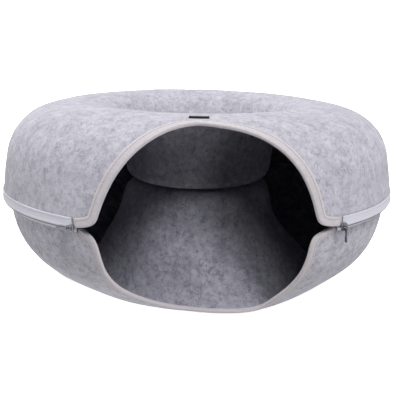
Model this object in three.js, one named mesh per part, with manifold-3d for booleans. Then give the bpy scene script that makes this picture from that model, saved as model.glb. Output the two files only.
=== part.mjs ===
// Felt cat tunnel bed: two moulded felt halves zipped together round the rim, with a bound
// mouth at the front and a sunken dish on top. Millimetres, +Z up, the mouth faces -Y.
// Angles round the bed are in degrees from the middle of the mouth, positive towards +X.
import * as THREE from "three";
import { mergeVertices } from "three/addons/utils/BufferGeometryUtils.js";
import Module from "manifold-3d";

const wasm = await Module();
wasm.setup();

// Felt, tapes and the gap left between neighbouring pieces
const FELT = 3.6;
const TAPE = 1.2;
const GAP = 0.4;
const RING_STEPS = 60;
const CURVE_DIVISIONS = 800;

// Overall form: the top of the crest, the dish floor that rests on the hub of the lower half,
// and the rims of the two halves, a zip's width apart
const TOP = 280;
const DISH_FLOOR = 172.5;
const HUB = DISH_FLOOR - 2 * FELT - GAP;
const UPPER_RIM = { radius: 298, height: 144.5 };
const LOWER_RIM = { radius: 288, height: 139 };

// Outside of each half from its rim to the axis, a row for each bend of the section and
// the number of flat steps that follow it
const UPPER_SECTION = [
  { at: "rim", radius: UPPER_RIM.radius, height: UPPER_RIM.height, steps: 1 },
  { at: "wall", radius: 297, height: 166, steps: 1 },
  { at: "wall top", radius: 294, height: 195, steps: 2 },
  { at: "shoulder foot", radius: 288.5, height: 222, steps: 2 },
  { at: "shoulder", radius: 275, height: 247, steps: 3 },
  { at: "shoulder top", radius: 251, height: 267, steps: 2 },
  { at: "crown", radius: 214, height: 277.5, steps: 2 },
  { at: "crest", radius: 169, height: TOP, steps: 2 },
  { at: "dish lip", radius: 143, height: 272, steps: 1 },
  { at: "dish turn", radius: 126, height: 254, steps: 1 },
  { at: "dish wall", radius: 115, height: 228, steps: 1 },
  { at: "dish wall foot", radius: 109, height: 194, steps: 1 },
  { at: "dish corner", radius: 104.5, height: 177.5, steps: 2 },
  { at: "dish floor edge", radius: 93, height: DISH_FLOOR, steps: 1 },
  { at: "axis", radius: 0, height: DISH_FLOOR, steps: 0 },
];
const LOWER_SECTION = [
  { at: "rim", radius: LOWER_RIM.radius, height: LOWER_RIM.height, steps: 1 },
  { at: "wall", radius: 285.5, height: 119, steps: 1 },
  { at: "wall foot", radius: 279, height: 96, steps: 1 },
  { at: "bowl", radius: 267, height: 73, steps: 2 },
  { at: "bowl turn", radius: 245, height: 49, steps: 3 },
  { at: "bowl foot", radius: 211, height: 24.5, steps: 3 },
  { at: "heel", radius: 180, height: 7, steps: 3 },
  { at: "base outer edge", radius: 162, height: 0, steps: 1 },
  { at: "base inner edge", radius: 152, height: 0, steps: 1 },
  { at: "cone foot", radius: 145, height: 13, steps: 1 },
  { at: "cone flare", radius: 136.5, height: 38, steps: 1 },
  { at: "cone", radius: 126.5, height: 71, steps: 1 },
  { at: "cone waist", radius: 114.5, height: 107, steps: 2 },
  { at: "cone neck", radius: 110, height: 142, steps: 1 },
  { at: "hub corner", radius: 104.5, height: 158, steps: 2 },
  { at: "hub edge", radius: 93, height: HUB, steps: 1 },
  { at: "axis", radius: 0, height: HUB, steps: 0 },
];

// Mouth: each lip is a superellipse on the felt, which runs out along the rim to the zip's end
const ZIP_END = 36.8;
const LIP_STEPS = 60;
const UPPER_LIP = {
  reach: 166.3,
  drift: -3.1,
  left: { halfAngle: 30.6, power: 1.54, corner: 4 },
  right: { halfAngle: 29.6, power: 1.73, corner: 4 },
  outside: 12,
};
const LOWER_LIP = {
  reach: 182.6,
  drift: 10.7,
  left: { halfAngle: 31.5, power: 3.5, corner: 9 },
  right: { halfAngle: 29.2, power: 2.8, corner: 5 },
  outside: 8,
};
const DRIFT_POWER = 6;
const BINDING = { inside: 9, thickness: 0.9, outerGap: 0.6, innerGap: 1.1 };

// Zip: a tape on the upper rim, the coil under its edge, and a tape turned down on the lower rim
const UPPER_TAPE = { low: 143, high: 156.5, setback: 0.9 };
const LOWER_TAPE = { reach: 297, height: 139.5, drop: 5 };
const COIL = { inner: 295.2, outer: 299, low: 141.1, high: 142.6 };

// Sliders: a shield-shaped plate outside the tape, a post in line with the coil, and a wire bail
const SLIDER = {
  length: 13,
  low: 136.5,
  high: 148,
  neck: 2.6,
  thickness: 1.6,
  postLength: 5,
  postInner: 293,
};
const BAIL = { span: 6.4, rise: 3.4, wire: 1.2 };
// Pulls: a flat tab with an eye for the bail
const PULL = {
  length: 21,
  head: 5,
  waist: 3,
  foot: 4.6,
  thickness: 1.3,
  eyeWidth: 2.6,
  eyeHeight: 3.4,
  droop: 5,
};

// Label on the crest, a little to the left of the middle of the mouth
const LABEL = { width: 28, depth: 9, thickness: 0.8, angle: -2.6, distance: 184 };

// How the soft felt has settled: it leans to one side, its wall is a little wavy, the roof
// rises over the mouth, the lower lip spreads forward where the felt is cut lowest, the base
// spreads at its sides and back, and the middle leans to the left and nods to the front
const LEAN = 0.02;
const WAVE = { size: 2.2, turns: 3, phase: 0.6 };
const FRONT_RISE = { size: 7, low: 160, high: 260 };
const BASE_SHIFT = { size: 6, height: 50 };
const LIP_SPREAD = { size: 18, x: 62, width: 70, height: 40 };
const SIDE_SPREAD = {
  size: 42,
  height: 76,
  core: 100,
  whole: 190,
  end: 285,
  firstAngle: 55,
  lastAngle: 105,
};
const MIDDLE = { whole: 120, end: 180 };
const CONE_LEAN = { size: 4, height: 100, width: 50 };
const DISH_NOD = { slope: 0.045, height: 168, width: 45 };

const FINISHES = {
  felt: { color: 0xbebcc9, roughness: 0.95, metalness: 0 },
  binding: { color: 0xd4d0d2, roughness: 0.85, metalness: 0 },
  tape: { color: 0xd6d5dd, roughness: 0.8, metalness: 0 },
  coil: { color: 0xc8c6cc, roughness: 0.5, metalness: 0 },
  metal: { color: 0x8f8880, roughness: 0.3, metalness: 1 },
  label: { color: 0x2b2a2f, roughness: 0.7, metalness: 0 },
};
const degrees = THREE.MathUtils.degToRad;
const { clamp, lerp, smoothstep } = THREE.MathUtils;

// Radii and angles that follow from the sizes above
const TAPE_INNER = UPPER_RIM.radius + GAP;
const TAPE_OUTER = TAPE_INNER + TAPE;
const PLATE_FACE = TAPE_OUTER + GAP;
const BAIL_FACE = PLATE_FACE + SLIDER.thickness;
const BAIL_BAR = BAIL_FACE + BAIL.rise - BAIL.wire / 2;
const BAIL_HEIGHT = (COIL.low + COIL.high) / 2;
const RIM_MM = degrees(1) * UPPER_RIM.radius;
const TAPE_END = ZIP_END + UPPER_TAPE.setback;
const SLIDER_ANGLE = ZIP_END + SLIDER.length / 2 / RIM_MM;
const COIL_END = SLIDER_ANGLE + (SLIDER.postLength / 2 + GAP) / RIM_MM;

// A half's section: the outside line from the rim (distance 0) to the axis. side is 1 for the
// upper half and -1 for the lower, and turns the line's direction into the outward normal.
class Section {
  constructor(rows, side) {
    const points = rows.map((row) => new THREE.Vector3(row.radius, row.height, 0));
    this.curve = new THREE.CatmullRomCurve3(points, false, "centripetal");
    this.curve.arcLengthDivisions = CURVE_DIVISIONS;
    this.length = this.curve.getLength();
    this.rows = rows;
    this.side = side;
  }

  offset(point, tangent, lift, past = 0) {
    const radius = point.x + tangent.x * past + this.side * tangent.y * lift;
    const height = point.y + tangent.y * past - this.side * tangent.x * lift;
    return new THREE.Vector2(radius, height);
  }

  // Radius and height at a distance from the rim, lifted off the felt along its normal
  at(distance, lift) {
    const share = clamp(distance / this.length, 0, 1);
    const past = distance - share * this.length;
    return this.offset(this.curve.getPointAt(share), this.curve.getTangentAt(share), lift, past);
  }

  // Closed lathe profile of the felt sheet, from the axis along one face and back on the other
  sheetProfile() {
    const bends = this.rows.length - 1;
    const shares = this.rows.flatMap(({ steps }, bend) =>
      Array.from({ length: steps }, (_, step) => (bend + step / steps) / bends),
    );
    shares.push(1);
    const face = (lift) =>
      shares.map((share) => this.offset(this.curve.getPoint(share), this.curve.getTangent(share), lift));
    const [first, second] = this.side > 0 ? [-FELT, 0] : [0, -FELT];
    const profile = [...face(first).reverse(), ...face(second)];
    profile[0].x = 0;
    profile.at(-1).x = 0;
    profile.forEach((point) => (point.y = Math.max(point.y, 0)));
    return profile;
  }
}
const upper = new Section(UPPER_SECTION, 1);
const lower = new Section(LOWER_SECTION, -1);

// A point round the bed from its angle, radius and height
function around(angle, radius, height) {
  const turn = degrees(angle);
  return new THREE.Vector3(radius * Math.sin(turn), -radius * Math.cos(turn), height);
}

// A point on a half's felt, from its angle and its distance from the rim
function onFelt(section, angle, distance, lift) {
  const { x: radius, y: height } = section.at(distance, lift);
  return around(angle, radius, height);
}

// The felt's own settling, as a smooth shift of every point; the base ring stays flat
const hump = (distance, width) => Math.exp(-((distance / width) ** 2));
function settle(point) {
  const share = clamp(point.z / TOP, 0, 1);
  const radius = Math.hypot(point.x, point.y);
  const turn = Math.atan2(point.x, -point.y);
  const wave = WAVE.size * Math.sin(WAVE.turns * turn + WAVE.phase) * Math.sin(Math.PI * share);
  const { firstAngle, lastAngle } = SIDE_SPREAD;
  const aside = smoothstep(Math.abs(turn), degrees(firstAngle), degrees(lastAngle));
  const inner = Math.min(radius / SIDE_SPREAD.core, 1) ** 2;
  const outer = 1 - smoothstep(radius, SIDE_SPREAD.whole, SIDE_SPREAD.end);
  const widening = SIDE_SPREAD.size * aside * inner * outer * hump(point.z, SIDE_SPREAD.height);
  const waving = wave * Math.min(radius / UPPER_RIM.radius, 1) ** 2;
  const growth = 1 + (waving + widening) / Math.max(radius, 1);
  const ahead = smoothstep(-point.y, 0, UPPER_RIM.radius / 2);
  const atLip = hump(point.x - LIP_SPREAD.x, LIP_SPREAD.width) * hump(point.z, LIP_SPREAD.height);
  const spread = LIP_SPREAD.size * atLip * ahead;
  const slide = BASE_SHIFT.size * hump(point.z, BASE_SHIFT.height);
  const drop = LEAN * point.x * share ** 2;
  const rise = FRONT_RISE.size * smoothstep(point.z, FRONT_RISE.low, FRONT_RISE.high) * ahead;
  const middle = 1 - smoothstep(radius, MIDDLE.whole, MIDDLE.end);
  const lean = CONE_LEAN.size * hump(point.z - CONE_LEAN.height, CONE_LEAN.width) * middle;
  const nod = DISH_NOD.slope * point.y * hump(point.z - DISH_NOD.height, DISH_NOD.width) * middle;
  const x = point.x * growth + slide - lean;
  return point.set(x, point.y * growth - spread, point.z - drop + rise + nod);
}

// A closed geometry from points and triangles, with like points merged and slivers dropped
function closed(points, triangles) {
  const raw = new THREE.BufferGeometry().setFromPoints(points).setIndex(triangles);
  const merged = mergeVertices(raw, 1e-4);
  const index = merged.index.array;
  const kept = [];
  for (let i = 0; i < index.length; i += 3) {
    const [a, b, c] = index.subarray(i, i + 3);
    if (a !== b && b !== c && c !== a) kept.push(a, b, c);
  }
  return merged.setIndex(kept);
}

// A solid swept through rings of points, all with the outline of the section, capped at both ends
function swept(rings, outline) {
  const count = outline.length;
  const triangles = [];
  for (let i = 0; i + 1 < rings.length; i++)
    for (let j = 0; j < count; j++) {
      const a = i * count + j;
      const b = i * count + ((j + 1) % count);
      triangles.push(a, b, b + count, a, b + count, a + count);
    }
  const last = (rings.length - 1) * count;
  for (const [a, b, c] of THREE.ShapeUtils.triangulateShape(outline, []))
    triangles.push(a, c, b, last + a, last + b, last + c);
  return closed(rings.flat(), triangles);
}
const outlineOf = (pairs) => pairs.map(([x, y]) => new THREE.Vector2(x, y));

// Solids for cutting and joining
function toSolid(geometry) {
  const bare = geometry.clone();
  bare.deleteAttribute("normal");
  bare.deleteAttribute("uv");
  const merged = mergeVertices(bare, 1e-4);
  const vertProperties = merged.getAttribute("position").array;
  const triVerts = new Uint32Array(merged.index.array);
  return new wasm.Manifold(new wasm.Mesh({ numProp: 3, vertProperties, triVerts }));
}
function toGeometry(solid) {
  const { vertProperties, triVerts } = solid.getMesh();
  return new THREE.BufferGeometry()
    .setAttribute("position", new THREE.BufferAttribute(vertProperties, 3))
    .setIndex(new THREE.BufferAttribute(triVerts, 1));
}

// One lip of the mouth as a curve of (millimetres round the rim, distance from the rim)
class LipCurve extends THREE.Curve {
  constructor(lip) {
    super();
    this.lip = lip;
    this.arcLengthDivisions = CURVE_DIVISIONS;
  }

  getPoint(share, target = new THREE.Vector3()) {
    const { reach, drift, left, right } = this.lip;
    const turn = Math.PI * (1 - share);
    const across = Math.cos(turn);
    const { halfAngle, power, corner } = across < 0 ? left : right;
    const distance = reach * Math.sin(turn) ** (2 / power);
    const swing = drift * (distance / reach) ** DRIFT_POWER;
    const bow = halfAngle * Math.abs(across) ** (2 / power);
    const runOut = (ZIP_END - halfAngle) * Math.abs(across) * Math.exp(-distance / corner);
    return target.set((Math.sign(across) * (bow + runOut) + swing) * RIM_MM, distance, 0);
  }
}

// Places along a lip: the angle, the distance from the rim, and the way out over the felt's edge
function lipPlaces(section, lip) {
  const curve = new LipCurve(lip);
  return Array.from({ length: LIP_STEPS + 1 }, (_, step) => {
    const { x, y: distance } = curve.getPointAt(step / LIP_STEPS);
    const along = curve.getTangentAt(step / LIP_STEPS);
    const narrowing = section.at(distance, 0).x / UPPER_RIM.radius;
    const out = new THREE.Vector2(along.y, -along.x * narrowing).normalize();
    return { angle: x / RIM_MM, distance, outAngle: out.x / narrowing / RIM_MM, outDistance: out.y };
  });
}

// The felt inside the mouth, as a thick patch that cuts the opening square to the sheet
function mouthCutter(section, places) {
  const margin = 6;
  const columns = 16;
  const half = LIP_STEPS / 2;
  const rows = [];
  for (let i = -1; i <= half; i++) {
    const left = places[Math.max(i, 0)];
    const right = places[LIP_STEPS - Math.max(i, 0)];
    const drop = i < 0 ? margin : 0;
    const row = [];
    for (let j = 0; j <= columns; j++) {
      const angle = lerp(left.angle, right.angle, j / columns);
      const distance = lerp(left.distance, right.distance, j / columns) - drop;
      row.push({ angle, distance });
    }
    rows.push(row);
  }
  const width = columns + 1;
  const layer = rows.length * width;
  const points = [margin, -FELT - margin].flatMap((lift) =>
    rows.flat().map(({ angle, distance }) => onFelt(section, angle, distance, lift)),
  );
  const triangles = [];
  const quad = (a, b, c, d) => triangles.push(a, b, c, a, c, d);
  for (let i = 0; i + 1 < rows.length; i++) {
    const left = i * width;
    const right = left + columns;
    for (let a = left; a < right; a++) {
      quad(a, a + 1, a + 1 + width, a + width);
      quad(a + layer + width, a + 1 + width + layer, a + 1 + layer, a + layer);
    }
    quad(left, left + width, left + width + layer, left + layer);
    quad(right + width, right, right + layer, right + width + layer);
  }
  for (let j = 0; j < columns; j++) quad(j + 1, j, j + layer, j + 1 + layer);
  if (section.side < 0) triangles.reverse();
  return closed(points, triangles);
}

// A felt half: the moulded sheet with the mouth cut out of it
function feltHalf(section, places) {
  const sheet = new THREE.LatheGeometry(section.sheetProfile(), RING_STEPS).rotateX(Math.PI / 2);
  return toGeometry(toSolid(sheet).subtract(toSolid(mouthCutter(section, places))));
}

// The folded tape sewn over a lip's cut edge, as one strip with a U section
function lipBinding(section, places, outside) {
  const { inside, thickness, outerGap, innerGap } = BINDING;
  const edge = outerGap + thickness;
  const back = -FELT - innerGap;
  const outline = outlineOf([
    [-outside, outerGap],
    [outerGap, outerGap],
    [outerGap, back],
    [-inside, back],
    [-inside, back - thickness],
    [edge, back - thickness],
    [edge, edge],
    [-outside, edge],
  ]);
  const rings = places.map(({ angle, distance, outAngle, outDistance }) =>
    outline.map(({ x: out, y: lift }) =>
      onFelt(section, angle + out * outAngle, distance + out * outDistance, lift),
    ),
  );
  return swept(section.side > 0 ? rings.reverse() : rings, outline);
}

// A strip round the rim between the zip's ends, from its outline of (radius, height)
function rimStrip(pairs, endAngle) {
  const step = 360 / RING_STEPS;
  const angles = [360 - endAngle];
  for (let angle = 360 - step; angle > endAngle; angle -= step)
    if (angle < 360 - endAngle) angles.push(angle);
  angles.push(endAngle);
  const outline = outlineOf(pairs);
  const rings = angles.map((angle) => outline.map(({ x, y }) => around(angle, x, y)));
  return swept(rings, outline);
}

function upperTape() {
  const { low, high } = UPPER_TAPE;
  return [
    [TAPE_INNER, low],
    [TAPE_OUTER, low],
    [TAPE_OUTER, high],
    [TAPE_INNER, high],
  ];
}
function lowerTape() {
  const { reach, height, drop } = LOWER_TAPE;
  const inner = LOWER_RIM.radius + GAP;
  return [
    [inner, height - drop],
    [inner + TAPE, height - drop],
    [inner + TAPE, height],
    [reach, height],
    [reach, height + TAPE],
    [inner, height + TAPE],
  ];
}
function coil() {
  const { inner, outer, low, high } = COIL;
  return [
    [inner, low],
    [outer, low],
    [outer, high],
    [inner, high],
  ];
}

// A flat shape given a thickness, with its face up in the shape's own plane
function plateOf(shape, thickness) {
  return new THREE.ExtrudeGeometry(shape, { depth: thickness, bevelEnabled: false, curveSegments: 6 });
}

// A slider, made at the front facing -Y; mouthSide is the sign of the X side of its wide end
function slider(mouthSide) {
  const { length, low, high, neck, thickness } = SLIDER;
  const wide = (mouthSide * length) / 2;
  const shield = new THREE.Shape();
  shield.moveTo(wide, low);
  shield.lineTo(wide / 2, low);
  shield.quadraticCurveTo(-wide / 2, low, -wide, COIL.low - neck);
  shield.lineTo(-wide, COIL.high + neck);
  shield.quadraticCurveTo(-wide / 2, high, wide / 2, high);
  shield.lineTo(wide, high);
  const plate = plateOf(shield, thickness).rotateX(Math.PI / 2).translate(0, -PLATE_FACE, 0);

  const depth = PLATE_FACE + thickness / 2 - SLIDER.postInner;
  const post = new THREE.BoxGeometry(SLIDER.postLength, depth, COIL.high - COIL.low);
  post.translate(0, -SLIDER.postInner - depth / 2, BAIL_HEIGHT);

  const foot = -PLATE_FACE - thickness / 2;
  const handle = foot - ((BAIL_BAR + foot) * 4) / 3;
  const arch = new THREE.CubicBezierCurve3(
    new THREE.Vector3(-BAIL.span / 2, foot, BAIL_HEIGHT),
    new THREE.Vector3(-BAIL.span / 2, handle, BAIL_HEIGHT),
    new THREE.Vector3(BAIL.span / 2, handle, BAIL_HEIGHT),
    new THREE.Vector3(BAIL.span / 2, foot, BAIL_HEIGHT),
  );
  const wire = new THREE.Shape().absarc(0, 0, BAIL.wire / 2, 0, 2 * Math.PI);
  const bail = new THREE.ExtrudeGeometry(wire, { extrudePath: arch, steps: 10, curveSegments: 4 });
  return toGeometry(toSolid(plate).add(toSolid(post)).add(toSolid(bail)));
}

// A pull tab with the middle of its eye at the origin, hanging towards -Y in its own plane
function pullTab() {
  const { length, head, waist, foot, thickness, eyeWidth, eyeHeight } = PULL;
  const end = foot / 2 - length;
  const middle = -length / 2;
  const tab = new THREE.Shape();
  tab.absarc(0, 0, head / 2, Math.PI, 0, true);
  tab.bezierCurveTo(head / 2, middle / 2, waist / 2, middle / 2, waist / 2, middle);
  tab.lineTo(foot / 2, end);
  tab.absarc(0, end, foot / 2, 0, Math.PI, true);
  tab.lineTo(-waist / 2, middle);
  tab.bezierCurveTo(-waist / 2, middle / 2, -head / 2, middle / 2, -head / 2, 0);
  tab.holes.push(new THREE.Path().absellipse(0, 0, eyeWidth / 2, eyeHeight / 2, 0, 2 * Math.PI));
  return plateOf(tab, thickness).translate(0, 0, -thickness / 2);
}

// Right pull: hangs straight down from the bar of the bail, edge on to the slider's plate
function hangingPull() {
  const drop = PULL.eyeHeight / 2 - BAIL.wire / 2 - GAP;
  const pull = pullTab().rotateX(Math.PI / 2).rotateZ(-Math.PI / 2);
  return pull.translate(0, -BAIL_BAR, BAIL_HEIGHT - drop);
}

// Left pull: lies along the zip, away from the mouth, with its eye round the bail's far foot
function lyingPull() {
  const pull = pullTab().rotateZ(-Math.PI / 2).rotateX(Math.PI / 2).rotateY(-degrees(PULL.droop));
  return pull.translate(-BAIL.span / 2, -BAIL_FACE - GAP - PULL.thickness / 2, BAIL_HEIGHT);
}

// The label, a thin sheet that follows the crest
function labelSheet() {
  const { width, depth, thickness, angle, distance } = LABEL;
  const spread = width / (degrees(1) * upper.at(distance, 0).x);
  const outline = outlineOf([
    [distance, GAP],
    [distance + depth, GAP],
    [distance + depth, GAP + thickness],
    [distance, GAP + thickness],
  ]);
  const steps = 4;
  const rings = Array.from({ length: steps + 1 }, (_, step) =>
    outline.map(({ x, y }) => onFelt(upper, angle + spread * (step / steps - 0.5), x, y)),
  );
  return swept(rings, outline);
}

// Each piece as a named mesh, settled with the felt
const bed = new THREE.Group();
function add(name, geometry, finish) {
  const places = geometry.getAttribute("position");
  const point = new THREE.Vector3();
  for (let i = 0; i < places.count; i++) {
    const { x, y, z } = settle(point.fromBufferAttribute(places, i));
    places.setXYZ(i, x, y, z);
  }
  const mesh = new THREE.Mesh(geometry, new THREE.MeshStandardMaterial(finish));
  mesh.name = name;
  bed.add(mesh);
}

const upperPlaces = lipPlaces(upper, UPPER_LIP);
const lowerPlaces = lipPlaces(lower, LOWER_LIP);
const toLeft = degrees(-SLIDER_ANGLE);
const toRight = degrees(SLIDER_ANGLE);
add("upper_felt", feltHalf(upper, upperPlaces), FINISHES.felt);
add("lower_felt", feltHalf(lower, lowerPlaces), FINISHES.felt);
add("upper_binding", lipBinding(upper, upperPlaces, UPPER_LIP.outside), FINISHES.binding);
add("lower_binding", lipBinding(lower, lowerPlaces, LOWER_LIP.outside), FINISHES.binding);
add("zip_tape_upper", rimStrip(upperTape(), TAPE_END), FINISHES.tape);
add("zip_tape_lower", rimStrip(lowerTape(), TAPE_END), FINISHES.tape);
add("zip_coil", rimStrip(coil(), COIL_END), FINISHES.coil);
add("slider_left", slider(1).rotateZ(toLeft), FINISHES.metal);
add("slider_right", slider(-1).rotateZ(toRight), FINISHES.metal);
add("pull_left", lyingPull().rotateZ(toLeft), FINISHES.metal);
add("pull_right", hangingPull().rotateZ(toRight), FINISHES.metal);
add("label", labelSheet(), FINISHES.label);

// The origin is under the middle of the bed's box, on the floor
const box = new THREE.Box3().setFromObject(bed);
const middle = box.getCenter(new THREE.Vector3());
bed.position.set(-middle.x, -middle.y, -box.min.z);

export default bed;
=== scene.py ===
"""Felt cat tunnel bed, dressed: the named sizes of its solids, with finer felt, tapes and zip."""
import math

import bpy
import numpy as np
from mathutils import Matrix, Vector, noise


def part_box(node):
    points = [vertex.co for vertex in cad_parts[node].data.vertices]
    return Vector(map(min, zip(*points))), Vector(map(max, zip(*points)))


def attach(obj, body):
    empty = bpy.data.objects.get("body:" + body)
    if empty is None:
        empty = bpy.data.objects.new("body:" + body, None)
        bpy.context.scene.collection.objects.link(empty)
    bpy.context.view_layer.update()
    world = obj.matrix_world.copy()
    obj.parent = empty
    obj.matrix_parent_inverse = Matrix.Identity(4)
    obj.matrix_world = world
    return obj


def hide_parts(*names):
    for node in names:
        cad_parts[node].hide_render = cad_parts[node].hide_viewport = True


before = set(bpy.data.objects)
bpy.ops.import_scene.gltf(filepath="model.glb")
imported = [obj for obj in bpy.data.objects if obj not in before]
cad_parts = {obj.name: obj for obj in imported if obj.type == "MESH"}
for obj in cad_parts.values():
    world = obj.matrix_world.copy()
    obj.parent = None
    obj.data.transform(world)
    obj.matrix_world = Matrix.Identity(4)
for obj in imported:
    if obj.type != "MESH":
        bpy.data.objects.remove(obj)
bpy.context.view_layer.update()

# Sizes in millimetres; angles in degrees from the middle of the mouth, positive towards +X
MM = 0.001
FELT = 3.6
TAPE = 1.2
GAP = 0.4
TOP = 280
DISH_FLOOR = 172.5
HUB = DISH_FLOOR - 2 * FELT - GAP
RIM_RADIUS = 298
RIM_MM = math.radians(1) * RIM_RADIUS
CAD_RING_STEP = 6
CAD_TAPE_EDGES = (143, 156.5)

# Outside of each half from its rim to the axis, as radius and height at each bend; the hub's shoulder is
# rounder than in the solids, so that the shadow line under the dish shows
UPPER_SECTION = [
    (298, 144.5), (297, 166), (294, 195), (288.5, 222), (275, 247), (251, 267), (214, 277.5), (169, TOP),
    (143, 272), (126, 254), (115, 228), (109, 194), (104.5, 177.5), (93, DISH_FLOOR), (0, DISH_FLOOR),
]
LOWER_SECTION = [
    (288, 139), (285.5, 119), (279, 96), (267, 73), (245, 49), (211, 24.5), (180, 7), (162, 0), (152, 0),
    (145, 13), (136.5, 38), (126.5, 71), (114.5, 107), (110, 138), (106.5, 150), (96, 160), (78, HUB),
    (0, HUB),
]
# Mouth lips on the felt, and the zip that ends where they meet
ZIP_END = 36.8
UPPER_LIP = dict(
    reach=166.3, drift=-3.1, outside=12,
    left=dict(half_angle=30.6, power=1.54, corner=4), right=dict(half_angle=29.6, power=1.73, corner=4),
)
LOWER_LIP = dict(
    reach=182.6, drift=10.7, outside=8,
    left=dict(half_angle=31.5, power=3.5, corner=9), right=dict(half_angle=29.2, power=2.8, corner=5),
)
DRIFT_POWER = 6
# How finely a lip is sampled, and the share of its length over which its direction is taken
LIP_SAMPLES = 6001
LIP_SLOPE_STEPS = 800
TAPE_END = ZIP_END + 0.9
TAPE_INNER = RIM_RADIUS + GAP
TAPE_OUTER = TAPE_INNER + TAPE
COIL = dict(inner=295.2, outer=299, low=141.1, high=142.6)
SLIDER = dict(length=13, low=136.5, high=148, neck=2.6, thickness=1.6, post_length=5, post_inner=293)
BAIL = dict(span=6.4, rise=3.4, wire=1.2)
PULL = dict(length=21, head=5, waist=3, foot=4.6, thickness=1.3, eye_width=2.6, eye_height=3.4, droop=5)
LABEL = dict(width=28, depth=9, thickness=0.8, angle=-2.6, distance=184)
PLATE_FACE = TAPE_OUTER + GAP
BAIL_FACE = PLATE_FACE + SLIDER["thickness"]
BAIL_BAR = BAIL_FACE + BAIL["rise"] - BAIL["wire"] / 2
ZIP_HEIGHT = (COIL["low"] + COIL["high"]) / 2
SLIDER_ANGLE = ZIP_END + SLIDER["length"] / 2 / RIM_MM
COIL_END = SLIDER_ANGLE + (SLIDER["post_length"] / 2 + GAP) / RIM_MM

# How the soft felt has settled
LEAN = 0.02
WAVE = dict(size=2.2, turns=3, phase=0.6)
FRONT_RISE = dict(size=7, low=160, high=260)
BASE_SHIFT = dict(size=6, height=50)
LIP_SPREAD = dict(size=18, x=62, width=70, height=40)
SIDE_SPREAD = dict(size=42, height=76, whole=190, end=285, first=55, last=105, core=100)
MIDDLE = dict(whole=120, end=180)
CONE_LEAN = dict(size=4, height=100, width=50)
DISH_NOD = dict(slope=0.045, height=168, width=45)


def smooth_step(value, low, high):
    """Rises from 0 at low to 1 at high."""
    share = np.clip((value - low) / (high - low), 0, 1)
    return share * share * (3 - 2 * share)


def hump(distance, width):
    """1 at no distance, dying away over a width."""
    return np.exp(-((distance / width) ** 2))


def settle(points):
    """The felt's own settling, as a smooth shift of every point."""
    x, y, z = np.moveaxis(np.asarray(points, float), -1, 0)
    share = np.clip(z / TOP, 0, 1)
    radius = np.hypot(x, y)
    turn = np.arctan2(x, -y)
    wave = WAVE["size"] * np.sin(WAVE["turns"] * turn + WAVE["phase"]) * np.sin(np.pi * share)
    growth = 1 + wave * np.minimum(radius / RIM_RADIUS, 1) ** 2 / np.maximum(radius, 1)
    at_lip = hump(x - LIP_SPREAD["x"], LIP_SPREAD["width"]) * hump(z, LIP_SPREAD["height"])
    ahead = smooth_step(-y, 0, RIM_RADIUS / 2)
    spread = LIP_SPREAD["size"] * at_lip * ahead
    rise = FRONT_RISE["size"] * smooth_step(z, FRONT_RISE["low"], FRONT_RISE["high"]) * ahead
    slide = BASE_SHIFT["size"] * hump(z, BASE_SHIFT["height"])
    aside = smooth_step(np.abs(np.degrees(turn)), SIDE_SPREAD["first"], SIDE_SPREAD["last"])
    near = np.minimum(radius / SIDE_SPREAD["core"], 1) ** 2
    near = near * (1 - smooth_step(radius, SIDE_SPREAD["whole"], SIDE_SPREAD["end"]))
    widening = SIDE_SPREAD["size"] * aside * near * hump(z, SIDE_SPREAD["height"])
    growth = growth + widening / np.maximum(radius, 1)
    middle = 1 - smooth_step(radius, MIDDLE["whole"], MIDDLE["end"])
    lean = CONE_LEAN["size"] * hump(z - CONE_LEAN["height"], CONE_LEAN["width"]) * middle
    nod = DISH_NOD["slope"] * y * hump(z - DISH_NOD["height"], DISH_NOD["width"]) * middle
    drop = LEAN * x * share**2
    return np.stack([x * growth + slide - lean, y * growth - spread, z - drop + rise + nod], -1)


def around(angle, radius, height):
    """Points round the bed from their angles, radii and heights."""
    turn = np.radians(angle)
    return np.stack(np.broadcast_arrays(radius * np.sin(turn), -radius * np.cos(turn), height), -1)


class Section:
    """A half's outside line from the rim to the axis; side is 1 for the upper half, -1 for the lower."""

    FINE = 60

    def __init__(self, rows, side):
        rows = np.array(rows, float)
        ends = np.vstack([2 * rows[0] - rows[1], rows, 2 * rows[-1] - rows[-2]])
        t = np.linspace(0, 1, self.FINE, endpoint=False)[:, None]
        line = []
        for p0, p1, p2, p3 in zip(ends, ends[1:], ends[2:], ends[3:]):
            d0, d1, d2 = (np.sqrt(np.linalg.norm(b - a)) for a, b in ((p0, p1), (p1, p2), (p2, p3)))
            m1 = d1 * ((p1 - p0) / d0 - (p2 - p0) / (d0 + d1) + (p2 - p1) / d1)
            m2 = d1 * ((p2 - p1) / d1 - (p3 - p1) / (d1 + d2) + (p3 - p2) / d2)
            square = 3 * (p2 - p1) - 2 * m1 - m2
            cube = 2 * (p1 - p2) + m1 + m2
            line.append(p1 + m1 * t + square * t**2 + cube * t**3)
        self.line = np.vstack([*line, rows[-1:]])
        steps = np.linalg.norm(np.diff(self.line, axis=0), axis=1)
        self.distance = np.concatenate([[0], np.cumsum(steps)])
        self.length = self.distance[-1]
        slope = np.gradient(self.line, self.distance, axis=0)
        self.slope = slope / np.linalg.norm(slope, axis=1)[:, None]
        self.side = side

    def at(self, distance, lift):
        """Radius and height at a distance from the rim, lifted off the felt along its normal."""
        inside = np.clip(distance, 0, self.length)
        radius, height, run, rise = (
            np.interp(inside, self.distance, column) for column in (*self.line.T, *self.slope.T)
        )
        past = distance - inside
        return radius + run * past + self.side * rise * lift, height + rise * past - self.side * run * lift

    def point(self, angle, distance, lift):
        """The place on the half at an angle, kept clear of the axis and the floor."""
        radius, height = self.at(distance, lift)
        return around(angle, np.maximum(radius, 0), np.maximum(height, 0))


upper = Section(UPPER_SECTION, 1)
lower = Section(LOWER_SECTION, -1)

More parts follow.
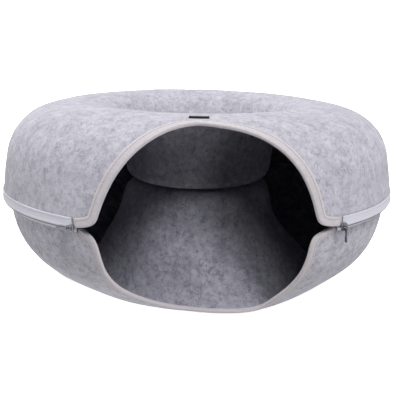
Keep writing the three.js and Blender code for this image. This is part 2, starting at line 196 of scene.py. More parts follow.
# The bed's axis in the frame, from where the upper zip tape's box lies there
tape_angles = np.arange(CAD_RING_STEP, 360, CAD_RING_STEP)
tape_angles = tape_angles[(tape_angles > TAPE_END) & (tape_angles < 360 - TAPE_END)]
tape_corners = settle(np.concatenate([around(tape_angles, TAPE_OUTER, z) for z in CAD_TAPE_EDGES]))
AXIS = np.array([*(np.array(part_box("zip_tape_upper")[1][:2]) / MM - tape_corners.max(0)[:2]), 0])


def lip_places(section, lip, steps):
    """Places along a lip, evenly spaced: angle, distance from the rim, and the way out over the edge."""
    turn = np.pi * (1 - np.linspace(0, 1, LIP_SAMPLES))
    across = np.cos(turn)
    left, right = lip["left"], lip["right"]
    half_angle, power, corner = (
        np.where(across < 0, left[key], right[key]) for key in ("half_angle", "power", "corner")
    )
    distance = lip["reach"] * np.abs(np.sin(turn)) ** (2 / power)
    bow = half_angle * np.abs(across) ** (2 / power)
    run_out = (ZIP_END - half_angle) * np.abs(across) * np.exp(-distance / corner)
    angle = np.sign(across) * (bow + run_out) + lip["drift"] * (distance / lip["reach"]) ** DRIFT_POWER
    flat = np.stack([angle * RIM_MM, distance], -1)
    run = np.concatenate([[0], np.cumsum(np.linalg.norm(np.diff(flat, axis=0), axis=1))])
    even = np.linspace(0, run[-1], steps + 1)
    x, distance = (np.interp(even, run, column) for column in flat.T)
    reach = run[-1] / LIP_SLOPE_STEPS
    ahead, behind = ([np.interp(even + d, run, column) for column in flat.T] for d in (reach, -reach))
    along = np.array(ahead) - np.array(behind)
    along /= np.linalg.norm(along, axis=0)
    narrowing = section.at(distance, 0)[0] / RIM_RADIUS
    out = np.array([along[1], -along[0] * narrowing])
    out /= np.linalg.norm(out, axis=0)
    return x / RIM_MM, distance, out[0] / narrowing / RIM_MM, out[1]


# Mesh helpers: grids of quads, welded sheets given a thickness, sweeps and small pills
WELD_DECIMALS = 2
PILL_POWER = 3


def grid_faces(index):
    """Quads between neighbouring rows and columns of a table of vertex numbers."""
    return np.stack([index[:-1, :-1], index[:-1, 1:], index[1:, 1:], index[1:, :-1]], -1).reshape(-1, 4)


def weld(points, faces):
    """Merges vertices that coincide; gives the first of each, and the faces without repeated corners."""
    rounded = np.round(points, WELD_DECIMALS)
    _, first, which = np.unique(rounded, axis=0, return_index=True, return_inverse=True)
    welded = []
    for face in which.reshape(-1)[faces]:
        corners = list(dict.fromkeys(face.tolist()))
        if len(corners) > 2:
            welded.append(corners)
    return first, welded


def thicken(faces, count):
    """Closes a sheet: its outer faces, the same ones turned over on the inner points, and its edges."""
    edges = {}
    for face in faces:
        for a, b in zip(face, face[1:] + face[:1]):
            edges[a, b] = edges.get((a, b), 0) + 1
    rim = [[b, a, a + count, b + count] for a, b in edges if (b, a) not in edges]
    return faces + [[v + count for v in reversed(face)] for face in faces] + rim


def swept(rings):
    """A solid through rings of points that share one closed outline, capped at both ends."""
    count, around_it = rings.shape[:2]
    index = np.arange(count * around_it).reshape(count, around_it)
    faces = grid_faces(np.hstack([index, index[:, :1]])).tolist()
    return rings.reshape(-1, 3), faces + [index[0].tolist(), index[-1, ::-1].tolist()]


def pills(centres, along, across, up, rings=5, sides=6, bow=0.0):
    """A small rounded pill at each centre, from its three half axes; bow lifts its middle."""
    u = np.linspace(-1, 1, rings + 2)[1:-1]
    turn = np.linspace(0, 2 * np.pi, sides, endpoint=False)
    width = np.sqrt(1 - np.abs(u) ** PILL_POWER)
    shape = [
        (place, w * np.cos(a), w * np.sin(a) + bow * (1 - place * place))
        for place, w in zip(u, width)
        for a in turn
    ]
    shape = np.array([(-1, 0, 0), *shape, (1, 0, 0)])
    half_axes = enumerate((along, across, up))
    points = centres[:, None] + sum(shape[None, :, k, None] * axis[:, None] for k, axis in half_axes)
    ring = 1 + np.arange(rings * sides).reshape(rings, sides)
    last = rings * sides + 1
    quads = grid_faces(np.hstack([ring, ring[:, :1]]))
    ends = [[0, ring[0, (j + 1) % sides], ring[0, j]] for j in range(sides)]
    ends += [[last, ring[-1, j], ring[-1, (j + 1) % sides]] for j in range(sides)]
    faces = []
    for k in range(len(centres)):
        start = k * (last + 1)
        faces += (quads + start).tolist() + [[int(v) + start for v in end] for end in ends]
    return points.reshape(-1, 3), faces


def join(*parts):
    """Several meshes of points and faces as one."""
    points, faces, start = [], [], 0
    for part_points, part_faces in parts:
        points.append(part_points)
        faces += [[v + start for v in face] for face in part_faces]
        start += len(part_points)
    return np.vstack(points), faces


def turned(mesh, angle):
    """A mesh made at the front, turned round the bed to an angle."""
    points, faces = mesh
    c, s = math.cos(math.radians(angle)), math.sin(math.radians(angle))
    return points @ np.array([[c, s, 0], [-s, c, 0], [0, 0, 1]]), faces


def make(name, mesh, material, replaces=(), sharp=None, lining=None):
    """Puts a mesh of millimetre points, settled with the felt, into the frame as a piece of the bed."""
    points, faces = mesh
    data = bpy.data.meshes.new(name)
    data.from_pydata(((settle(points) + AXIS) * MM).tolist(), [], faces)
    data.validate()
    data.materials.append(material)
    if lining:
        data.materials.append(lining)
        inside = np.arange(len(points)) >= len(points) // 2
        for face in data.polygons:
            face.material_index = int(all(inside[v] for v in face.vertices))
    data.shade_smooth()
    if sharp is not None:
        data.set_sharp_from_angle(angle=math.radians(sharp))
    piece = bpy.data.objects.new(name, data)
    bpy.context.scene.collection.objects.link(piece)
    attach(piece, "root")
    if replaces:
        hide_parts(*replaces)
    return piece


# Materials
def linear(hex_colour):
    """A linear colour from an sRGB hex value."""
    parts = [int(hex_colour[i : i + 2], 16) / 255 for i in (1, 3, 5)]
    return (*(p / 12.92 if p <= 0.04045 else ((p + 0.055) / 1.055) ** 2.4 for p in parts), 1)


def add(tree, kind, inputs=None, **settings):
    """Adds a node with its settings; an input is a value, or a socket to link from."""
    made = tree.nodes.new("ShaderNode" + kind)
    for key, value in settings.items():
        setattr(made, key, value)
    for key, value in (inputs or {}).items():
        if isinstance(value, bpy.types.NodeSocket):
            tree.links.new(value, made.inputs[key])
        else:
            made.inputs[key].default_value = value
    return made


def surface(name, **values):
    """A material with its tree, its main shader and the point in the frame, in metres."""
    material = bpy.data.materials.new(name)
    material.use_nodes = True
    tree = material.node_tree
    tree.nodes.clear()
    shader = add(tree, "BsdfPrincipled", {key.replace("_", " "): value for key, value in values.items()})
    add(tree, "OutputMaterial", {"Surface": shader.outputs[0]})
    return material, tree, shader, add(tree, "TexCoord").outputs["Object"]


def per_metre(size_mm):
    """A pattern's scale for features of a size in millimetres."""
    return 1 / (size_mm * MM)


# Felt's patterns in millimetres: wide drifts of tone, the mottling in them, and the nap on the surface
DRIFT_MM = 26
MOTTLE_MM = 9
NAP_MM = 2.4
# Stray fibres as size of curl in millimetres, thinness and shift of the pattern. One fibre is too thin to
# show in the render, so tufts of them are drawn this coarse
FIBRES = ((20, 0.03, 0.0), (12, 0.04, 3.7), (7, 0.05, 7.9))
FIBRE_BREAK = 0.8
RIBS_TO_A_FLECK = 4


def moulded_felt(name, light, dark, fibre, flecks):
    """Needle-punched polyester felt, heat moulded: dull, with pale mottling, and darker stray fibres in
    short curls, as in heathered wool. A side that the mould pressed less shows more flecks."""
    material, tree, shader, place = surface(
        name, Roughness=0.95, Sheen_Weight=0.12, Sheen_Roughness=0.6, Specular_IOR_Level=0.2
    )
    wide = per_metre(DRIFT_MM)
    cloud = add(tree, "TexNoise", {"Vector": place, "Scale": wide, "Detail": 3.0, "Roughness": 0.6})
    fine = per_metre(MOTTLE_MM)
    mottle = add(tree, "TexNoise", {"Vector": place, "Scale": fine, "Detail": 4.0, "Roughness": 0.65})
    blend = add(tree, "Mix", {0: 0.6, 2: cloud.outputs[0], 3: mottle.outputs[0]})
    ground = add(tree, "ValToRGB", {"Fac": blend.outputs[0]})
    ramp = ground.color_ramp
    ramp.elements[0].position, ramp.elements[0].color = 0.38, linear(dark)
    ramp.elements[1].position, ramp.elements[1].color = 0.62, linear(light)
    colour = ground.outputs[0]
    for curl_mm, thin, shift in FIBRES:
        moved = add(tree, "VectorMath", {0: place, 1: (shift, shift, shift)}, operation="ADD").outputs[0]
        curls = per_metre(curl_mm)
        curl = add(tree, "TexNoise", {"Vector": moved, "Scale": curls, "Detail": 2.0, "Distortion": 1.2})
        away = add(tree, "Math", {0: curl.outputs[0], 1: 0.5}, operation="SUBTRACT")
        off = add(tree, "Math", {0: away.outputs[0]}, operation="ABSOLUTE")
        thread = add(tree, "MapRange", {0: off.outputs[0], 1: 0.0, 2: thin, 3: flecks, 4: 0.0})
        breaks = per_metre(curl_mm * FIBRE_BREAK)
        broken = add(tree, "TexNoise", {"Vector": moved, "Scale": breaks, "Detail": 1.0})
        shown = add(tree, "MapRange", {0: broken.outputs[0], 1: 0.5, 2: 0.6, 3: 0.0, 4: 1.0})
        amount = add(tree, "Math", {0: thread.outputs[0], 1: shown.outputs[0]}, operation="MULTIPLY")
        mixed = add(tree, "Mix", {0: amount.outputs[0], 6: colour, 7: linear(fibre)}, data_type="RGBA")
        colour = mixed.outputs[2]
    tree.links.new(colour, shader.inputs["Base Color"])
    hairs = per_metre(NAP_MM)
    nap = add(tree, "TexNoise", {"Vector": place, "Scale": hairs, "Detail": 3.0, "Roughness": 0.7})
    bump = add(tree, "Bump", {"Strength": 0.6, "Distance": 0.5 * MM, "Height": nap.outputs[0]})
    tree.links.new(bump.outputs[0], shader.inputs["Normal"])
    return material


def woven_tape(name, pale, deep, rib_mm, sheen=0.1, specular=0.25):
    """Woven polyester tape: a smooth dense weave with fine ribs, a little brighter than the felt."""
    material, tree, shader, place = surface(
        name, Roughness=0.8, Sheen_Weight=sheen, Specular_IOR_Level=specular
    )
    tone = per_metre(rib_mm * RIBS_TO_A_FLECK)
    fleck = add(tree, "TexNoise", {"Vector": place, "Scale": tone, "Detail": 3.0})
    mixed = add(tree, "Mix", {0: fleck.outputs[0], 6: linear(deep), 7: linear(pale)}, data_type="RGBA")
    tree.links.new(mixed.outputs[2], shader.inputs["Base Color"])
    ribs = per_metre(rib_mm)
    weave = add(tree, "TexVoronoi", {"Vector": place, "Scale": ribs, "Randomness": 0.6})
    bump = add(tree, "Bump", {"Strength": 0.35, "Distance": 0.25 * MM, "Height": weave.outputs["Distance"]})
    tree.links.new(bump.outputs[0], shader.inputs["Normal"])
    return material


def plain_finish(name, pale, deep, grain_mm, **values):
    """A finish with slight uneven tone at a grain size."""
    material, tree, shader, place = surface(name, **values)
    grain = add(tree, "TexNoise", {"Vector": place, "Scale": per_metre(grain_mm), "Detail": 3.0})
    mixed = add(tree, "Mix", {0: grain.outputs[0], 6: linear(deep), 7: linear(pale)}, data_type="RGBA")
    tree.links.new(mixed.outputs[2], shader.inputs["Base Color"])
    return material


# The mould presses the roof smoothest; the lower half and the insides show more flecks.
# The insides' felt is also darker, as painted shade for the shadow inside the tunnel
pressed_felt = moulded_felt("moulded_heathered_felt", "#adabb5", "#92919a", "#63626b", 0.47)
coarse_felt = moulded_felt("coarse_heathered_felt", "#b1afb8", "#92909a", "#5e5b63", 0.56)
shaded_lining_felt = moulded_felt("heathered_felt_painted_shade", "#a2a1ac", "#7f7e89", "#4a4953", 0.52)
binding_tape = woven_tape("woven_binding_tape", "#b9b4b8", "#9d989d", 0.9)
zip_tape = woven_tape("woven_zip_tape", "#bdbcc5", "#afaeb8", 0.8)
# Spun polyester thread: dull, a faint pinkish grey line on the bindings and a white one on the zip tape
thread = plain_finish("spun_thread", "#968689", "#7d6e72", 1.0, Roughness=0.8, Specular_IOR_Level=0.3)
white_thread = plain_finish(
    "spun_white_thread", "#b6b5bc", "#a6a5ac", 1.0, Roughness=0.8, Specular_IOR_Level=0.3
)
# Nylon coil: slightly shiny plastic, coloured dark grey as painted shade, the shadow line between the two
# tapes
shaded_nylon = plain_finish("nylon_coil_painted_shade", "#6d6b72", "#5a585f", 2.0, Roughness=0.45, IOR=1.53)
# Dark nickel plate on cast zinc: a deep grey metal with soft reflections
nickel = plain_finish("dark_nickel_plate", "#5f6066", "#44454a", 3.0, Metallic=1.0, Roughness=0.3)
# Label tape, woven finer and dyed near black: a flat dark patch with no shine
label_cloth = woven_tape("woven_label", "#141317", "#0c0b0e", 0.5, sheen=0.0, specular=0.05)


# Felt halves: how fine their sheets are, how far the patch round the mouth reaches, and how far the rims
# go on behind the tapes
SHEET_STEP = 1.5
ROW_MM = 5
PATCH_ANGLE = 48
PATCH_ROWS = 14
PATCH_SAMPLES = 4000
SIDE_SHARE = 0.34
UPPER_WALL = 195
LOWER_WALL = 210
RIM_OVERLAP = 1.0
FELT_SHARP = 50
# Waviness of the felt, and where it dies out: by the lip and the rim, and over the hub
WAVINESS = dict(broad=0.7, broad_mm=60, small=0.3, small_mm=24, shift=(9, 4, 2))
CALM = dict(patch=60, edge=14, clear=50, hub=90, past_hub=130)


def even_rows(start, end):
    """Distances from the rim, about one row apart."""
    return np.linspace(start, end, max(2, round(abs(end - start) / ROW_MM) + 1))


def unevenness(point):
    """Slight waviness of hand-packed felt, in millimetres."""
    place = Vector(point)
    broad = noise.noise(place / WAVINESS["broad_mm"])
    small = noise.noise(place / WAVINESS["small_mm"] + Vector(WAVINESS["shift"]))
    return WAVINESS["broad"] * broad + WAVINESS["small"] * small


def felt_half(section, lip, far):
    """A half's sheet in three patches: round the mouth, the rest of the wall, and all past the mouth."""
    wall = even_rows(-RIM_OVERLAP, far)
    beyond = even_rows(far, section.length)
    front = np.arange(-PATCH_ANGLE, PATCH_ANGLE + SHEET_STEP / 2, SHEET_STEP)
    back = np.arange(PATCH_ANGLE, 360 - PATCH_ANGLE + SHEET_STEP / 2, SHEET_STEP)
    ring = np.arange(0, 360 + SHEET_STEP / 2, SHEET_STEP)
    sides = len(wall) - 1
    edge_angle = np.concatenate([np.full(sides, front[0]), front, np.full(sides, front[-1])])
    edge_distance = np.concatenate([wall[:-1], np.full(len(front), far), wall[-2::-1]])
    lip_angle, lip_distance, _, _ = lip_places(section, lip, PATCH_SAMPLES)
    shares = np.concatenate([
        np.linspace(0, SIDE_SHARE, sides, endpoint=False),
        np.linspace(SIDE_SHARE, 1 - SIDE_SHARE, len(front)),
        np.linspace(1 - SIDE_SHARE, 1, sides + 1)[1:],
    ])
    full = np.linspace(0, 1, len(lip_angle))
    start_angle = np.interp(shares, full, lip_angle)
    start_distance = np.interp(shares, full, lip_distance)
    toward = np.linspace(0, 1, PATCH_ROWS + 1)[:, None]
    patch_angle = start_angle + (edge_angle - start_angle) * toward
    patch_distance = start_distance + (edge_distance - start_distance) * toward
    wall_distance, wall_angle = np.meshgrid(wall, back, indexing="ij")
    beyond_distance, beyond_angle = np.meshgrid(beyond, ring, indexing="ij")
    tables = [
        (patch_angle, patch_distance, toward * np.ones(len(shares))),
        (wall_angle, wall_distance, np.ones(wall_angle.shape)),
        (beyond_angle, beyond_distance, np.ones(beyond_angle.shape)),
    ]
    angle, distance, clear = (np.concatenate([t[k].reshape(-1) for t in tables]) for k in range(3))
    faces, start = [], 0
    for table in tables:
        count = table[0].size
        faces.append(grid_faces(np.arange(start, start + count).reshape(table[0].shape)))
        start += count
    faces = np.concatenate(faces)
    if section.side < 0:
        faces = faces[:, ::-1]
    first, welded = weld(section.point(angle, distance, 0), faces)
    angle, distance, clear = angle[first], distance[first], clear[first]
    swell = np.array([unevenness(p) for p in section.point(angle, distance, 0)])
    off_edges = smooth_step(np.minimum(clear * CALM["patch"], distance), CALM["edge"], CALM["clear"])
    off_hub = smooth_step(section.length - distance, CALM["hub"], CALM["past_hub"])
    calm = off_edges * off_hub
    outer = section.point(angle, distance, swell * calm)
    inner = section.point(angle, distance, swell * calm - FELT)
    return np.vstack([outer, inner]), thicken(welded, len(outer))


# The inner faces of both halves take the lining felt, painted darker as shade inside the tunnel
upper_half = make(
    "upper_half_felt", felt_half(upper, UPPER_LIP, UPPER_WALL), pressed_felt, ["upper_felt"],
    sharp=FELT_SHARP, lining=shaded_lining_felt,
)
lower_half = make(
    "lower_half_felt", felt_half(lower, LOWER_LIP, LOWER_WALL), coarse_felt, ["lower_felt"],
    sharp=FELT_SHARP, lining=shaded_lining_felt,
)

# Folded binding on each lip, as out (over the edge) and lift (off the felt's outside) round its section
FOLD = dict(out=-0.5, lift=-1.8, reach=2.0, rise=2.85, points=13)
BINDING_SKIN = 0.7
STITCH_SHARE = 0.68
STITCH_LIFT = 0.85
STITCH = dict(pitch=3.4, length=2.5, radius=0.36, bow=0.5)
LIP_STEPS = 300


def folded(inset, turn):
    """The bend of the folded tape, at an inset from its outside."""
    out = FOLD["out"] + (FOLD["reach"] - inset) * np.cos(turn)
    lift = FOLD["lift"] + (FOLD["rise"] - inset) * np.sin(turn)
    return np.stack([out, lift], -1)


def binding_outline(outside):
    """The folded tape's section: its outer face with a stitched groove, the fold, and its inner face."""
    turn = np.radians(np.linspace(90, -90, FOLD["points"]))
    stitch = -outside * STITCH_SHARE
    face = [
        (-outside, 0.3), (-outside - 0.2, 0.55), (-outside, 0.85), (stitch - 1.6, 1.05),
        (stitch - 0.7, 1.0), (stitch, 0.8), (stitch + 0.7, 1.0), (stitch + 1.8, 1.12), (-2.4, 1.1),
    ]
    inside = [(-3, -4.65), (-6, -4.62), (-8.7, -4.6), (-9.0, -4.3), (-8.7, -4.0), (-6, -3.95), (-3, -3.95)]
    back = [(-2.6, 0.35), (-outside * 0.6, 0.3)]
    return np.array([*face, *folded(0, turn), *inside, *folded(BINDING_SKIN, turn[::-1]), *back])


def lip_binding(section, lip):
    """The folded tape's section, carried along a lip."""
    places = lip_places(section, lip, LIP_STEPS)
    angle, distance, out_angle, out_distance = (column[:, None] for column in places)
    out, lift = binding_outline(lip["outside"]).T
    rings = section.point(angle + out * out_angle, distance + out * out_distance, lift[None])
    return swept(rings if section.side > 0 else rings[::-1])


def seam(path, normal, pitch, length, radius, bow):
    """Stitches along a path of points with surface normals."""
    run = np.concatenate([[0], np.cumsum(np.linalg.norm(np.diff(path, axis=0), axis=1))])
    middles = np.arange(pitch, run[-1] - pitch, pitch)

    def sample(table, where):
        return np.stack([np.interp(where, run, column) for column in table.T], -1)

    along = sample(path, middles + length / 2) - sample(path, middles - length / 2)
    along /= np.linalg.norm(along, axis=1)[:, None]
    up = sample(normal, middles)
    up /= np.linalg.norm(up, axis=1)[:, None]
    side = np.cross(up, along)
    return pills(sample(path, middles), along * length / 2, side * radius, up * radius, bow=bow)


def lip_seam(section, lip):
    """The row of stitches along a lip's binding."""
    angle, distance, out_angle, out_distance = lip_places(section, lip, LIP_STEPS)
    out = -lip["outside"] * STITCH_SHARE
    angle, distance = angle + out * out_angle, distance + out * out_distance
    low, high = (section.point(angle, distance, STITCH_LIFT + rise) for rise in (0, 1))
    return seam(low, high - low, **STITCH)


for name, section, lip, half in (
    ("upper", upper, UPPER_LIP, upper_half),
    ("lower", lower, LOWER_LIP, lower_half),
):
    wrapped = lip_binding(section, lip)
    strip = make(f"{name}_lip_binding", wrapped, binding_tape, [f"{name}_binding"])
    row = make(f"{name}_lip_stitches", lip_seam(section, lip), thread)

# Zip: a tape on the upper rim, one turned down on the lower rim, and the coil's teeth between them
RIM_STEP = 1.0
TAPE_SEAM = dict(height=153.2, sunk=0.2, margin=0.5, samples=1200)
TAPE_STITCH = dict(pitch=3.6, length=2.6, radius=0.36, bow=0.5)
TOOTH = dict(pitch=1.5, reach=0.3, half_width=0.62, half_height=0.85, sides=8, margin=0.2)


def rim_strip(outline, end_angle):
    """An outline of radius and height carried round the rim, from one end of the zip to the other."""
    angles = np.linspace(end_angle, 360 - end_angle, round((360 - 2 * end_angle) / RIM_STEP) + 1)
    outline = np.array(outline)
    return swept(around(angles[:, None], outline[None, :, 0], outline[None, :, 1]))


# Outlines of the tapes and of the coil's core, as radius and height
UPPER_TAPE_OUTLINE = [
    (TAPE_INNER, 143.3), (TAPE_INNER + 0.3, 142.9), (TAPE_OUTER + 0.1, 142.9), (TAPE_OUTER + 0.45, 143.4),
    (TAPE_OUTER + 0.45, 145.2), (TAPE_OUTER, 146), (TAPE_OUTER, 149), (TAPE_OUTER - 0.05, 152.4),
    (TAPE_OUTER - 0.3, 153.2), (TAPE_OUTER - 0.05, 154), (TAPE_OUTER, 155.8), (TAPE_OUTER - 0.25, 156.4),
    (TAPE_INNER - 0.7, 156.4), (TAPE_INNER - 0.2, 150),
]
LOWER_TAPE_OUTLINE = [
    (288.5, 134.5), (289.6, 134.5), (289.6, 138.4), (290.1, 139.2), (291, 139.5), (296.7, 139.5),
    (297.2, 139.9), (297.2, 140.4), (296.7, 140.7), (290.4, 140.7), (289.2, 140.3), (288.6, 139.3),
]
COIL_CORE = [(294.5, 140.6), (298.6, 140.6), (298.6, 143.4), (294.5, 143.4)]
upper_band = rim_strip(UPPER_TAPE_OUTLINE, TAPE_END)
lower_band = rim_strip(LOWER_TAPE_OUTLINE, TAPE_END)
upper_tape = make("upper_zip_tape", upper_band, zip_tape, ["zip_tape_upper"])
lower_tape = make("lower_zip_tape", lower_band, zip_tape, ["zip_tape_lower"])

seam_start = TAPE_END + TAPE_SEAM["margin"]
tape_run = np.linspace(seam_start, 360 - seam_start, TAPE_SEAM["samples"])
tape_path = around(tape_run, TAPE_OUTER - TAPE_SEAM["sunk"], TAPE_SEAM["height"])
tape_seam = seam(tape_path, around(tape_run, 1, 0), **TAPE_STITCH)
tape_stitches = make("zip_tape_stitches", tape_seam, white_thread)

tooth_count = round((360 - 2 * COIL_END) * RIM_MM / TOOTH["pitch"])
first_tooth = COIL_END + TOOTH["margin"]
tooth_angle = np.linspace(first_tooth, 360 - first_tooth, tooth_count)
tooth_depth = (COIL["outer"] - COIL["inner"]) / 2
tooth_place = around(tooth_angle, COIL["inner"] + tooth_depth, ZIP_HEIGHT)
tooth_out = around(tooth_angle, 1, 0)
tooth_up = np.broadcast_to([0.0, 0.0, 1.0], tooth_out.shape)
teeth = pills(
    tooth_place, tooth_out * (tooth_depth + TOOTH["reach"]),
    np.cross(tooth_up, tooth_out) * TOOTH["half_width"], tooth_up * TOOTH["half_height"],
    sides=TOOTH["sides"],
)
# The coil's dark grey is painted shade, for the shadow line between the two tapes
make("zip_teeth", join(teeth, rim_strip(COIL_CORE, COIL_END)), shaded_nylon, ["zip_coil"])


# Sliders and pulls, made at the front facing -Y
METAL_SHARP = 40
EASE_BEND = 0.25
SHIELD = dict(corner=1, ease=0.45, points=9)
CROWN = dict(share=0.6, thickness=0.7, ease=0.3, sunk=0.2)
POST_EASE = 0.3
WIRE = dict(points=21, sides=10, tallness=1.5)
TAB = dict(ease=0.3, eye_ease=0.5, head_points=17, side_points=10, tip_points=13)


def inward(outline):
    """Unit directions into a plate from the points of its outline."""
    along = np.roll(outline, -1, 0) - np.roll(outline, 1, 0)
    along /= np.linalg.norm(along, axis=1)[:, None]
    return np.stack([-along[:, 1], along[:, 0]], -1)


def plate(outline, depths):
    """A flat plate with eased edges: rings of its outline, each with an inset and a depth."""
    outline = np.array(outline, float)
    into = inward(outline)
    rings = [
        np.column_stack([outline + into * inset, np.full(len(outline), depth)]) for inset, depth in depths
    ]
    return swept(np.array(rings)[::-1])


def eased(thickness, ease):
    """Insets and depths through a plate, with both its edges rounded off."""
    bend = EASE_BEND * ease
    back = [(ease, 0), (bend, bend), (0, ease)]
    front = [(0, thickness - ease), (bend, thickness - bend), (ease, thickness)]
    return back + front


def facing(mesh, face):
    """Turns a plate's own plane to face -Y, with its back at a distance in front of the axis."""
    points, faces = mesh
    return np.stack([points[:, 0], -face - points[:, 2], points[:, 1]], -1), faces


def bezier(points, steps):
    """Points along a curve with three or four controls."""
    t = np.linspace(0, 1, steps)[:, None]
    p = np.array(points, float)
    if len(p) == 3:
        return (1 - t) ** 2 * p[0] + 2 * t * (1 - t) * p[1] + t**2 * p[2]
    return (1 - t) ** 3 * p[0] + 3 * t * (1 - t) ** 2 * p[1] + 3 * t**2 * (1 - t) * p[2] + t**3 * p[3]


def slider(mouth_side):
    """A zip slider: a shield-shaped plate with a raised crown, a post between the tapes and a wire bail."""
    low, high, neck, wide = SLIDER["low"], SLIDER["high"], SLIDER["neck"], SLIDER["length"] / 2
    corner, points = SHIELD["corner"], SHIELD["points"]
    end = [(wide - corner, low), (wide, low + corner), (wide, high - corner), (wide - corner, high)]
    top = bezier([(wide / 2, high), (-wide / 2, high), (-wide, COIL["high"] + neck)], points)
    bottom = bezier([(-wide, COIL["low"] - neck), (-wide / 2, low), (wide / 2, low)], points)
    shield = np.array([*end, *top, *bottom])
    shield[:, 0] *= mouth_side
    if mouth_side < 0:
        shield = shield[::-1]
    front = facing(plate(shield, eased(SLIDER["thickness"], SHIELD["ease"])), PLATE_FACE)
    centre = shield.mean(0)
    small = centre + (shield - centre) * CROWN["share"]
    crown_face = PLATE_FACE + SLIDER["thickness"] - CROWN["sunk"]
    crown = facing(plate(small, eased(CROWN["thickness"], CROWN["ease"])), crown_face)
    depth = PLATE_FACE + SLIDER["thickness"] / 2 - SLIDER["post_inner"]
    side = SLIDER["post_length"] / 2
    post_outline = [(side, COIL["low"]), (side, COIL["high"]), (-side, COIL["high"]), (-side, COIL["low"])]
    post = facing(plate(post_outline, eased(depth, POST_EASE)), SLIDER["post_inner"])
    foot = PLATE_FACE + SLIDER["thickness"] / 2
    handle = foot + (BAIL_BAR - foot) * 4 / 3
    span = BAIL["span"] / 2
    arch = bezier([(-span, -foot), (-span, -handle), (span, -handle), (span, -foot)], WIRE["points"])
    return join(front, crown, post, wire(arch))


def wire(arch):
    """A bent wire of flattened round section, lying level at the zip's height."""
    along = np.gradient(arch, axis=0)
    along /= np.linalg.norm(along, axis=1)[:, None]
    side = np.stack([along[:, 1], -along[:, 0]], -1)
    turn = np.linspace(0, 2 * np.pi, WIRE["sides"], endpoint=False)
    radius = BAIL["wire"] / 2
    flat = arch[:, None] + side[:, None] * (radius * np.cos(turn))[None, :, None]
    height = np.broadcast_to(ZIP_HEIGHT + WIRE["tallness"] * radius * np.sin(turn), flat.shape[:2])
    return swept(np.concatenate([flat, height[..., None]], -1))


def pull_tab():
    """A tab with an eye: faces between its outline and the eye, eased at every edge."""
    head, waist, foot = PULL["head"] / 2, PULL["waist"] / 2, PULL["foot"] / 2
    end, middle = foot - PULL["length"], -PULL["length"] / 2
    side_points = TAB["side_points"]
    head_turn = np.linspace(0, math.pi, TAB["head_points"])
    tip_turn = np.linspace(math.pi, 2 * math.pi, TAB["tip_points"])
    top = [(head * math.cos(a), head * math.sin(a)) for a in head_turn]
    left = bezier([(-head, 0), (-head, middle / 2), (-waist, middle / 2), (-waist, middle)], side_points)
    tip = [(foot * math.cos(a), end + foot * math.sin(a)) for a in tip_turn]
    right = bezier([(waist, middle), (waist, middle / 2), (head, middle / 2), (head, 0)], side_points)
    outline = np.array([*top, *left[1:], *tip, *right[:-1]])
    turn = np.arctan2(outline[:, 1], outline[:, 0])
    eye = np.stack([PULL["eye_width"] / 2 * np.cos(turn), PULL["eye_height"] / 2 * np.sin(turn)], -1)
    away = eye / np.linalg.norm(eye, axis=1)[:, None]
    half, ease = PULL["thickness"] / 2, TAB["ease"]
    eye_edge = eye + away * ease * TAB["eye_ease"]
    tab_edge = outline + inward(outline) * ease
    loops = [
        (eye, half - ease), (eye_edge, half), (tab_edge, half), (outline, half - ease),
        (outline, ease - half), (tab_edge, -half), (eye_edge, -half), (eye, ease - half),
    ]
    rings = np.array([np.column_stack([loop, np.full(len(loop), depth)]) for loop, depth in loops])
    index = np.arange(rings.shape[0] * rings.shape[1]).reshape(rings.shape[:2])
    index = np.vstack([index, index[:1]])
    faces = grid_faces(np.hstack([index, index[:, :1]])).tolist()
    return rings.reshape(-1, 3), faces


def hanging_pull():
    """Hangs straight down from the bar of the bail, edge on to the slider's plate."""
    points, faces = pull_tab()
    drop = PULL["eye_height"] / 2 - BAIL["wire"] / 2 - GAP
    x, y, z = points.T
    return np.stack([-z, -x - BAIL_BAR, y + ZIP_HEIGHT - drop], -1), faces


def lying_pull():
    """Lies along the zip, away from the mouth, with its eye round the bail's far foot."""
    points, faces = pull_tab()
    x, y, z = points.T
    c, s = math.cos(math.radians(PULL["droop"])), math.sin(math.radians(PULL["droop"]))
    across, up = y, -x
    face = -BAIL_FACE - GAP - PULL["thickness"] / 2
    beside = c * across - s * up - BAIL["span"] / 2
    height = s * across + c * up + ZIP_HEIGHT
    return np.stack([beside, -z + face, height], -1), faces


make("left_slider", turned(slider(1), -SLIDER_ANGLE), nickel, ["slider_left"], sharp=METAL_SHARP)
make("right_slider", turned(slider(-1), SLIDER_ANGLE), nickel, ["slider_right"], sharp=METAL_SHARP)
make("left_pull", turned(lying_pull(), -SLIDER_ANGLE), nickel, ["pull_left"], sharp=METAL_SHARP)
make("right_pull", turned(hanging_pull(), SLIDER_ANGLE), nickel, ["pull_right"], sharp=METAL_SHARP)


# Label: a small bare piece of dark tape that follows the crest
LABEL_EASE = dict(edge=0.15, top=0.2, swell=0.1)
LABEL_POINTS = 25


def label_sheet():
    """The label's section with eased edges, carried across its width."""
    depth, thickness = LABEL["depth"], LABEL["thickness"]
    edge, top = LABEL_EASE["edge"], LABEL_EASE["top"]
    spread = LABEL["width"] / (math.radians(1) * upper.at(LABEL["distance"], 0)[0])
    outline = [
        (0, edge), (edge, 0), (depth - edge, 0), (depth, edge), (depth, thickness - edge),
        (depth - top, thickness), (depth / 2, thickness + LABEL_EASE["swell"]), (top, thickness),
        (0, thickness - edge),
    ]
    along, lift = np.array(outline).T
    angles = LABEL["angle"] + spread * np.linspace(-0.5, 0.5, LABEL_POINTS)
    return swept(upper.point(angles[::-1, None], LABEL["distance"] + along[None], GAP + lift[None]))


label = make("blank_label", label_sheet(), label_cloth, ["label"])

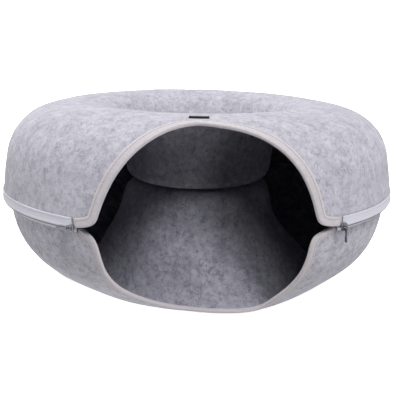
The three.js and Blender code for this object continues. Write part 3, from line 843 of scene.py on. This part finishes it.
# Stage: a pale floor with its reach and height in metres, soft studio light and the camera
FLOOR_REACH = 40
FLOOR_HEIGHT = -0.0003
ways = ((-1, -1), (1, -1), (1, 1), (-1, 1))
corners = [(x * FLOOR_REACH, y * FLOOR_REACH, FLOOR_HEIGHT) for x, y in ways]
floor_data = bpy.data.meshes.new("floor")
floor_data.from_pydata(corners, [], [(0, 1, 2, 3)])
# Opal acrylic light table: even matt white, lit from within so that shadows on it stay faint
floor_data.materials.append(plain_finish(
    "opal_light_table", "#f4f4f4", "#f0f0f0", 400, Roughness=0.9, Specular_IOR_Level=0.1,
    Emission_Color=linear("#ffffff"), Emission_Strength=0.8,
))
floor = bpy.data.objects.new("floor", floor_data)
# Its bounce comes from the four table lamps below instead, which keep out of the mouth
floor.visible_diffuse = False
floor.visible_shadow = False
bpy.context.scene.collection.objects.link(floor)

scene = bpy.context.scene
scene.view_settings.view_transform = "Standard"
world = bpy.data.worlds.new("white_room")
scene.world = world
world.use_nodes = True
world.node_tree.nodes["Background"].inputs["Color"].default_value = linear("#ffffff")
world.node_tree.nodes["Background"].inputs["Strength"].default_value = 1.0
world.cycles_visibility.diffuse = False

# Soft lamps: strength, then azimuth (0 at the front, positive to the right), elevation and spread in degrees
LAMPS = {
    "right_key": (1.6, 30, 46, 18),
    "front_fill": (0.8, 0, 46, 18),
    "right_top": (0.8, 25, 58, 20),
    "left_top": (0.8, -70, 72, 24),
    "overhead": (1.5, 0, 88, 30),
    "left_window": (1.3, -85, 6, 20),
    "back_window": (1.3, 180, 25, 40),
    "table_left": (1.2, -75, -35, 40),
    "table_right": (0.2, 90, -35, 40),
    "table_front_right": (2.2, 60, -35, 40),
    "table_back": (0.8, 180, -35, 40),
}
for name, (strength, azimuth, elevation, spread) in LAMPS.items():
    data = bpy.data.lights.new(name, "SUN")
    data.energy = strength
    data.angle = math.radians(spread)
    lamp = bpy.data.objects.new(name, data)
    a, e = math.radians(azimuth), math.radians(elevation)
    from_there = Vector((math.sin(a) * math.cos(e), -math.cos(a) * math.cos(e), math.sin(e)))
    lamp.rotation_euler = from_there.to_track_quat("Z", "Y").to_euler()
    scene.collection.objects.link(lamp)

SENSOR_MM = 36
CAMERA = dict(x=-79.8, y=-1591.8, height=480, heading=3.07, pitch=12.6, focal_px=1027, image_px=400)
camera_data = bpy.data.cameras.new("camera")
camera_data.sensor_width = SENSOR_MM
camera_data.lens = SENSOR_MM * CAMERA["focal_px"] / CAMERA["image_px"]
camera = bpy.data.objects.new("camera", camera_data)
camera.location = (CAMERA["x"] * MM, CAMERA["y"] * MM, CAMERA["height"] * MM)
camera.rotation_euler = (math.radians(90 - CAMERA["pitch"]), 0, -math.radians(CAMERA["heading"]))
scene.collection.objects.link(camera)
scene.camera = camera
